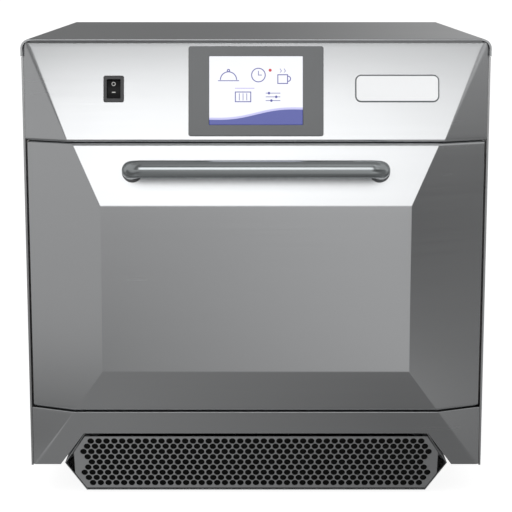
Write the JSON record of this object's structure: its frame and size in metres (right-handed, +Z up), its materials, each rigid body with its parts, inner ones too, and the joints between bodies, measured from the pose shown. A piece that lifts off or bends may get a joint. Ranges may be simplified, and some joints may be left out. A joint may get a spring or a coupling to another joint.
{
  "type": "speed oven",
  "caption": "Counter-top speed oven: sheet-steel casing with a faceted front, drop-down door with a bar handle, touch display, rocker switch and a perforated pull-out air filter.",
  "frame": {"origin": "on the floor under the middle of the object's box", "axes": "+Z up, +Y from the front to the back, +X to the right seen from the front"},
  "size_m": [0.584, 0.7321, 0.591],
  "materials": {
    "brushed_steel": "brushed",
    "casing_steel": "satin",
    "galvanised": "galvanised",
    "cavity_steel": "satin",
    "cast_metal": "matt",
    "finned_metal": "matt",
    "black_plastic": "satin",
    "grey_plastic": "satin",
    "black_rubber": "matt",
    "filter_mesh": "matt",
    "woven_seal": "matt",
    "ceramic": "matt",
    "fibre": "matt",
    "circuit_board": "satin",
    "screen": "gloss",
    "white_enamel": "gloss"
  },
  "bodies": {
    "casing": {"top_cover": "casing_steel", "side_panel_left": "casing_steel", "side_panel_right": "casing_steel", "rear_panel": "casing_steel", "exhaust_cowl": "casing_steel", "base_pan": "galvanised", "foot_front_left": "black_rubber", "foot_front_right": "black_rubber", "foot_rear_left": "black_rubber", "foot_rear_right": "black_rubber", "control_fascia": "brushed_steel", "display_bezel": "grey_plastic", "touch_screen": "screen", "display_board": "circuit_board", "switch_housing": "black_plastic", "badge_plate": "white_enamel", "lower_fascia": "brushed_steel", "front_bulkhead": "galvanised", "door_hinge_arm_left": "galvanised", "door_hinge_arm_right": "galvanised", "interlock_switch_left": "grey_plastic", "interlock_switch_right": "grey_plastic", "front_sill": "cavity_steel", "front_frame": "cavity_steel", "cavity_liner": "cavity_steel", "cavity_floor_plate": "ceramic", "oven_rack": "brushed_steel", "upper_jet_plate": "cavity_steel", "hot_air_duct": "galvanised", "fan_chamber": "galvanised", "convection_motor": "cast_metal", "convection_heater": "cast_metal", "catalyst": "ceramic", "insulation_blanket": "fibre", "waveguide": "galvanised", "stirrer_motor": "finned_metal", "magnetron_left": "finned_metal", "magnetron_right": "finned_metal", "hv_transformer_left": "cast_metal", "hv_transformer_right": "cast_metal", "cooling_fan_frame": "black_plastic", "electronics_shelf": "galvanised", "control_board": "circuit_board", "cable_gland": "black_plastic"},
    "door": {"door_skin": "brushed_steel", "door_inner_panel": "cavity_steel", "door_choke": "cavity_steel", "door_seal": "woven_seal", "door_handle": "brushed_steel", "handle_flange_left": "brushed_steel", "handle_flange_right": "brushed_steel", "door_hinge_clevis_left": "galvanised", "door_hinge_clevis_right": "galvanised"},
    "rocker": {"switch_rocker": "black_plastic"},
    "air_filter": {"air_filter_frame": "brushed_steel", "air_filter_grille": "brushed_steel", "air_filter_pad": "filter_mesh"},
    "hot_air_wheel": {"convection_fan": "cavity_steel"},
    "cooling_wheel": {"cooling_fan": "black_plastic"},
    "microwave_stirrer": {"stirrer": "galvanised"}
  },
  "joints": [
    {"name": "door_hinge", "type": "hinge", "parent": "casing", "child": "door", "pos_m": [0, -0.29539, 0.1295], "axis": [1, 0, 0], "range_deg": [0, 90]},
    {"name": "rocker_pivot", "type": "hinge", "parent": "casing", "child": "rocker", "pos_m": [-0.176, -0.28823, 0.52963], "axis": [1, 0, 0], "range_deg": [-12, 0]},
    {"name": "air_filter_slide", "type": "slide", "parent": "casing", "child": "air_filter", "axis": [0, -1, 0], "range_m": [0, 0.045]},
    {"name": "hot_air_wheel_spin", "type": "hinge", "parent": "casing", "child": "hot_air_wheel", "pos_m": [0, 0.12076, 0.2878], "axis": [0, 1, 0], "continuous": true},
    {"name": "cooling_wheel_spin", "type": "hinge", "parent": "casing", "child": "cooling_wheel", "pos_m": [0, -0.21785, 0.0895], "axis": [0, 1, 0], "continuous": true},
    {"name": "stirrer_spin", "type": "hinge", "parent": "casing", "child": "microwave_stirrer", "pos_m": [0, -0.12184, 0.157], "axis": [0, 0, 1], "continuous": true}
  ]
}
